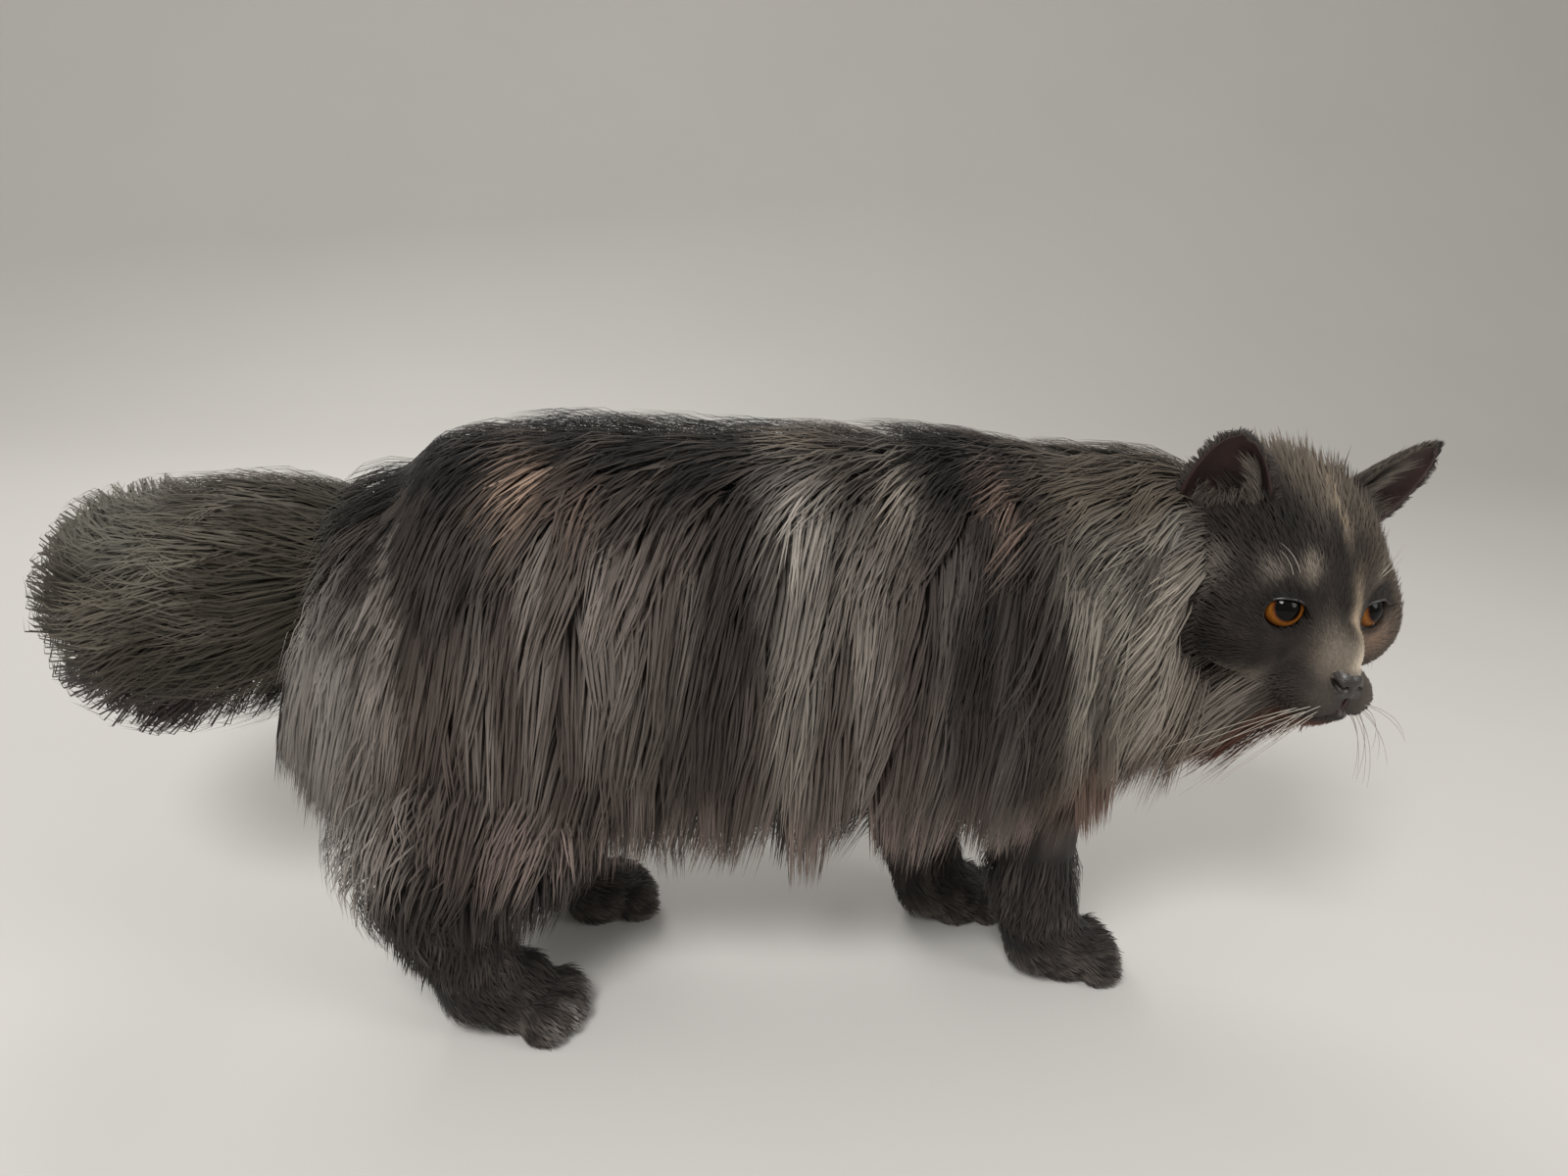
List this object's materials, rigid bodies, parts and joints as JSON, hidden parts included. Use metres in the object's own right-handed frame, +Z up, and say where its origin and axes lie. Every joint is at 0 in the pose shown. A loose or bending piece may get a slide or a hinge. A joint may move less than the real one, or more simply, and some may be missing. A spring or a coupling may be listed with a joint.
{
  "type": "persian cat",
  "caption": "Long-haired Persian cat in a dark smoke coat with a full ruff and a plumed tail, standing with its head turned to its right; a still, life-size model.",
  "frame": {"origin": "on the floor under the middle of the cat's bounding box", "axes": "+X forward along the body towards the chest, +Y to the cat's left, +Z up"},
  "size_m": [0.6544, 0.2456, 0.2945],
  "materials": {
    "smoke_coat": "long dark smoke fur with paler, silvery streaks",
    "ruff_coat": "long pale silver-grey fur",
    "face_coat": "short dark fur with cream marks",
    "leg_coat": "short dense blue-grey fur",
    "tail_coat": "long olive-brown grey fur",
    "eye": "wet, copper-amber"
  },
  "bodies": {
    "root": {"head": "face_coat", "ear_left": "face_coat", "ear_right": "face_coat", "eye_left": "eye", "eye_right": "eye", "neck": "ruff_coat", "torso": "smoke_coat", "tail_base": "tail_coat", "tail_tip": "tail_coat", "foreleg_left": "leg_coat", "foreleg_right": "leg_coat", "hindleg_left": "leg_coat", "hindleg_right": "leg_coat"}
  },
  "joints": []
}
